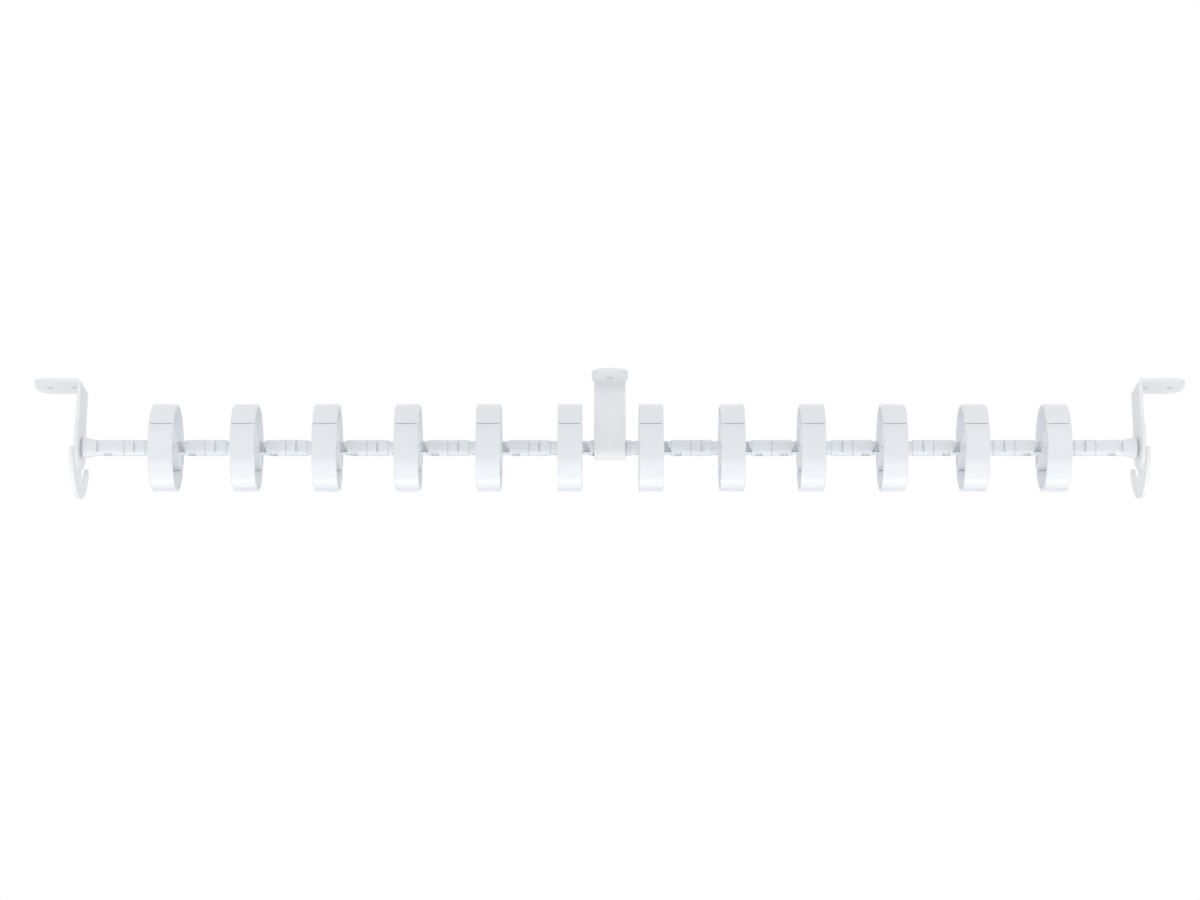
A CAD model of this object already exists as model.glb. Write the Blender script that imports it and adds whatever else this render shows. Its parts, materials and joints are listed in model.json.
# Looks of an under-desk cable spine: white ring links on a spine between powder-coated steel brackets.
import json
import math

import bmesh
import bpy
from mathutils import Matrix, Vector


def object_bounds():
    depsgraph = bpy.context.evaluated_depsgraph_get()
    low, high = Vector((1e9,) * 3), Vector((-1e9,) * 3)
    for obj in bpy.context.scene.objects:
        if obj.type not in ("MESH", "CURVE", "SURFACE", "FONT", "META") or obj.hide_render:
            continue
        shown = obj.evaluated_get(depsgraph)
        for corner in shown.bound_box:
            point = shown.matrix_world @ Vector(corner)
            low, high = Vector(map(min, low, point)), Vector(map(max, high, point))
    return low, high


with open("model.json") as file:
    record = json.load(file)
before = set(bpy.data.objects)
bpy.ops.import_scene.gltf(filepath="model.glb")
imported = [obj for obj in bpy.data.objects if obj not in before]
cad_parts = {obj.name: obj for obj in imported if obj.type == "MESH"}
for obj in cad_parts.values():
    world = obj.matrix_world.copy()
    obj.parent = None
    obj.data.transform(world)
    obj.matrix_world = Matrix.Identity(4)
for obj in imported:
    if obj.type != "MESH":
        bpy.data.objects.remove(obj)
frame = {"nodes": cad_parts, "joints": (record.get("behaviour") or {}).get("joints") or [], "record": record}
cad_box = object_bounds()
scene = bpy.context.scene

# Photograph's framing: metres shown by one pixel at the spine, and the pixel of the spine's middle.
PHOTO_WIDTH = 1200
PHOTO_HEIGHT = 900
METRES_PER_PIXEL = 0.0007055
SPINE_PIXEL = (609.8, 448.0)
CAMERA_DISTANCE = 2.1
CAMERA_BELOW = math.radians(16.0)
SENSOR_WIDTH = 36.0

# Studio: even light that is stronger from above and weaker from both ends, and a floor far under the spine.
WORLD_LEVEL = 0.68
WORLD_FROM_ABOVE = 0.15
WORLD_LOST_AT_ENDS = 0.12
FLOOR_DROP = 0.75
FLOOR_REACH = 4.0
FLOOR_COLOUR = (0.86, 0.87, 0.88, 1.0)
FLOOR_GLOW = 0.33

# Radius over which edges catch the light, and how deep light sinks into the white moulding.
EDGE_RADIUS = 0.0004
GLOW_DEPTH = 0.002


class Value:
    """A shader socket that Python arithmetic can use."""

    def __init__(self, shader, socket):
        self.shader = shader
        self.socket = socket

    def math(self, operation, first, second):
        return self.shader.node("ShaderNodeMath", {"operation": operation}, {0: first, 1: second})

    def __add__(self, other):
        return self.math("ADD", self, other)

    __radd__ = __add__

    def __sub__(self, other):
        return self.math("SUBTRACT", self, other)

    def __rsub__(self, other):
        return self.math("SUBTRACT", other, self)

    def __mul__(self, other):
        return self.math("MULTIPLY", self, other)

    __rmul__ = __mul__


class Shader:
    """Nodes of one material or of the world."""

    def __init__(self, owner):
        owner.use_nodes = True
        self.nodes = owner.node_tree.nodes
        self.links = owner.node_tree.links
        self.nodes.clear()

    def node(self, kind, settings=None, inputs=None, output=0):
        """Adds a node, sets it up, fills or links its sockets and returns one of its outputs."""
        made = self.nodes.new(kind)
        for name, setting in (settings or {}).items():
            setattr(made, name, setting)
        for name, value in (inputs or {}).items():
            if isinstance(value, Value):
                self.links.new(value.socket, made.inputs[name])
            else:
                made.inputs[name].default_value = value
        return Value(self, made.outputs[output]) if made.outputs else None

    def noise(self, where, scale, detail=2.0, rough=0.5):
        return self.node(
            "ShaderNodeTexNoise",
            {"noise_dimensions": "3D"},
            {"Vector": where, "Scale": scale, "Detail": detail, "Roughness": rough},
        )


def shade(colour, factor):
    """The colour made lighter or darker, with full alpha."""
    return tuple(min(1.0, channel * factor) for channel in colour) + (1.0,)


def finish_material(
    name,
    colour,
    tint_spread,
    cloud_scale,
    rough,
    rough_spread,
    shine,
    grain_scale,
    grain_strength,
    grain_height,
    metal=0.0,
    glow=0.0,
):
    """A satin finish with a cloudy tint, an uneven sheen and a fine raised grain."""
    material = bpy.data.materials.new(name)
    shader = Shader(material)
    where = shader.node("ShaderNodeTexCoord", output="Object")
    cloud = shader.noise(where, cloud_scale, detail=3.0)
    grain = shader.noise(where, grain_scale, rough=0.6)
    tint = shader.node(
        "ShaderNodeMix",
        {"data_type": "RGBA"},
        {
            "Factor": cloud,
            "A": shade(colour, 1.0 - tint_spread),
            "B": shade(colour, 1.0 + tint_spread),
        },
        output="Result",
    )
    edge = shader.node("ShaderNodeBevel", {"samples": 12}, {"Radius": EDGE_RADIUS})
    raised = shader.node(
        "ShaderNodeBump",
        None,
        {"Strength": grain_strength, "Distance": grain_height, "Height": grain, "Normal": edge},
    )
    sheen = cloud * rough_spread + (rough - rough_spread / 2)
    surface = shader.node(
        "ShaderNodeBsdfPrincipled",
        None,
        {
            "Base Color": tint,
            "Roughness": sheen,
            "Metallic": metal,
            "Specular IOR Level": shine,
            "Subsurface Weight": glow,
            "Subsurface Radius": (1.0, 1.0, 1.0),
            "Subsurface Scale": GLOW_DEPTH,
            "Normal": raised,
        },
    )
    shader.node("ShaderNodeOutputMaterial", None, {"Surface": surface})
    return material


def white_moulding():
    return finish_material(
        "satin_white_moulding",
        colour=(0.833, 0.858, 0.888),
        tint_spread=0.012,
        cloud_scale=18.0,
        rough=0.21,
        rough_spread=0.05,
        shine=0.45,
        grain_scale=1800.0,
        grain_strength=0.06,
        grain_height=0.00005,
        glow=0.3,
    )


def white_powder_coat():
    return finish_material(
        "white_powder_coat",
        colour=(0.885, 0.90, 0.915),
        tint_spread=0.010,
        cloud_scale=25.0,
        rough=0.38,
        rough_spread=0.08,
        shine=0.33,
        grain_scale=1400.0,
        grain_strength=0.08,
        grain_height=0.00005,
    )


def natural_pin_moulding():
    return finish_material(
        "natural_pin_moulding",
        colour=(0.84, 0.83, 0.79),
        tint_spread=0.02,
        cloud_scale=60.0,
        rough=0.26,
        rough_spread=0.05,
        shine=0.4,
        grain_scale=1500.0,
        grain_strength=0.05,
        grain_height=0.00005,
    )


def zinc_plate():
    return finish_material(
        "zinc_plate",
        colour=(0.62, 0.63, 0.66),
        tint_spread=0.06,
        cloud_scale=220.0,
        rough=0.30,
        rough_spread=0.12,
        shine=0.5,
        grain_scale=1200.0,
        grain_strength=0.10,
        grain_height=0.00010,
        metal=1.0,
    )


def dress_nodes():
    """Gives every CAD node the finish of its material slot."""
    finishes = {
        "white_plastic": white_moulding(),
        "white_steel": white_powder_coat(),
        "pin_plastic": natural_pin_moulding(),
        "zinc_screw": zinc_plate(),
    }
    slots = {part["node"]: part["material_slot"] for part in frame["record"]["subparts"]}
    for name, node in frame["nodes"].items():
        node.data.materials.clear()
        node.data.materials.append(finishes[slots[name]])


def spine_middle():
    """Middle of the spine on its axis, from the joints and the CAD box."""
    pivot = frame["joints"][0]["pos_m"]
    low, high = cad_box
    return Vector(((low.x + high.x) / 2, pivot[1], pivot[2]))


def add_camera():
    """Camera that looks up at the spine and puts its middle on the photograph's pixel."""
    forward = Vector((0.0, math.cos(CAMERA_BELOW), math.sin(CAMERA_BELOW)))
    up = Vector((0.0, -math.sin(CAMERA_BELOW), math.cos(CAMERA_BELOW)))
    right = Vector((1.0, 0.0, 0.0))
    aside = (SPINE_PIXEL[0] - PHOTO_WIDTH / 2) * METRES_PER_PIXEL
    above = (PHOTO_HEIGHT / 2 - SPINE_PIXEL[1]) * METRES_PER_PIXEL
    data = bpy.data.cameras.new("camera")
    data.sensor_fit = "HORIZONTAL"
    data.sensor_width = SENSOR_WIDTH
    data.lens = SENSOR_WIDTH * CAMERA_DISTANCE / (PHOTO_WIDTH * METRES_PER_PIXEL)
    camera = bpy.data.objects.new("camera", data)
    camera.location = spine_middle() - forward * CAMERA_DISTANCE - right * aside - up * above
    camera.rotation_mode = "QUATERNION"
    camera.rotation_quaternion = forward.to_track_quat("-Z", "Y")
    scene.collection.objects.link(camera)
    scene.camera = camera


def add_lamp(name, place, aim, size, power):
    """An area lamp whose place and aim are measured from the middle of the spine."""
    data = bpy.data.lights.new(name, "AREA")
    data.shape = "RECTANGLE"
    data.size, data.size_y = size
    data.energy = power
    lamp = bpy.data.objects.new(name, data)
    start = spine_middle() + Vector(place)
    end = spine_middle() + Vector(aim)
    lamp.location = start
    lamp.rotation_mode = "QUATERNION"
    lamp.rotation_quaternion = (end - start).to_track_quat("-Z", "Y")
    scene.collection.objects.link(lamp)
    return lamp


def soft_lamp(name, **lamp):
    """A lamp that lights surfaces and doesn't show in their gloss."""
    add_lamp(name, **lamp).visible_glossy = False


def gloss_lamp(name, **lamp):
    """A lamp that only shows in gloss."""
    add_lamp(name, **lamp).visible_diffuse = False


def add_lights():
    """Soft lamps in front, at both ends and below, and two lamps below that put gloss on the undersides."""
    soft_lamp("front_soft", place=(0.0, -2.0, 0.28), aim=(0.0, 0.0, 0.0), size=(0.5, 0.5), power=2.6)
    for name, side in (("left_soft", -1), ("right_soft", 1)):
        place = (side * 0.50, -0.55, 0.08)
        aim = (side * 0.42, 0.0, 0.0)
        soft_lamp(name, place=place, aim=aim, size=(0.3, 0.3), power=0.47)
    soft_lamp("low_glow", place=(0.0, 0.04, -0.70), aim=(0.0, 0.0, 0.0), size=(2.4, 0.9), power=3.8)
    gloss_lamp("low_panel", place=(0.0, 0.09, -0.65), aim=(0.0, 0.09, 0.0), size=(2.4, 1.22), power=13.0)
    gloss_lamp("low_strip", place=(0.0, 0.24, -0.62), aim=(0.0, 0.0, 0.0), size=(1.5, 0.06), power=1.45)


def add_world():
    """Even light, weaker from both ends of the spine, that shows as white."""
    world = bpy.data.worlds.new("studio")
    scene.world = world
    shader = Shader(world)
    where = shader.node("ShaderNodeTexCoord", output="Generated")
    sideways = shader.node("ShaderNodeSeparateXYZ", None, {0: where}, output="X")
    upwards = shader.node("ShaderNodeSeparateXYZ", None, {0: where}, output="Z")
    level = WORLD_LEVEL + upwards * WORLD_FROM_ABOVE - sideways * sideways * WORLD_LOST_AT_ENDS
    path = "ShaderNodeLightPath"
    seen = (
        shader.node(path, output="Is Camera Ray")
        + shader.node(path, output="Is Glossy Ray")
        + shader.node(path, output="Is Transmission Ray")
    )
    shown = shader.node("ShaderNodeMath", {"operation": "MINIMUM"}, {0: seen, 1: 1.0})
    strength = level * (1.0 - shown) + shown
    backdrop = shader.node(
        "ShaderNodeBackground", None, {"Color": (1.0, 1.0, 1.0, 1.0), "Strength": strength}
    )
    shader.node("ShaderNodeOutputWorld", None, {"Surface": backdrop})


def pale_floor():
    """Matt paint that is lifted towards white for the camera and is clear from beneath."""
    material = bpy.data.materials.new("pale_floor")
    shader = Shader(material)
    paint = shader.node(
        "ShaderNodeBsdfPrincipled",
        None,
        {
            "Base Color": FLOOR_COLOUR,
            "Roughness": 0.9,
            "Emission Color": shader.node("ShaderNodeLightPath", output="Is Camera Ray"),
            "Emission Strength": FLOOR_GLOW,
        },
    )
    clear = shader.node("ShaderNodeBsdfTransparent")
    beneath = shader.node("ShaderNodeNewGeometry", output="Backfacing")
    surface = shader.node("ShaderNodeMixShader", None, {0: beneath, 1: paint, 2: clear})
    shader.node("ShaderNodeOutputMaterial", None, {"Surface": surface})
    return material


def add_floor():
    """Floor far under the spine, there only for its shadow."""
    sheet = bmesh.new()
    bmesh.ops.create_grid(sheet, x_segments=1, y_segments=1, size=FLOOR_REACH)
    below = spine_middle() - Vector((0.0, 0.0, FLOOR_DROP))
    bmesh.ops.translate(sheet, verts=sheet.verts, vec=below)
    mesh = bpy.data.meshes.new("floor")
    sheet.to_mesh(mesh)
    sheet.free()
    mesh.materials.append(pale_floor())
    floor = bpy.data.objects.new("floor", mesh)
    scene.collection.objects.link(floor)


dress_nodes()
add_camera()
add_lights()
add_world()
add_floor()
scene.view_settings.view_transform = "Standard"
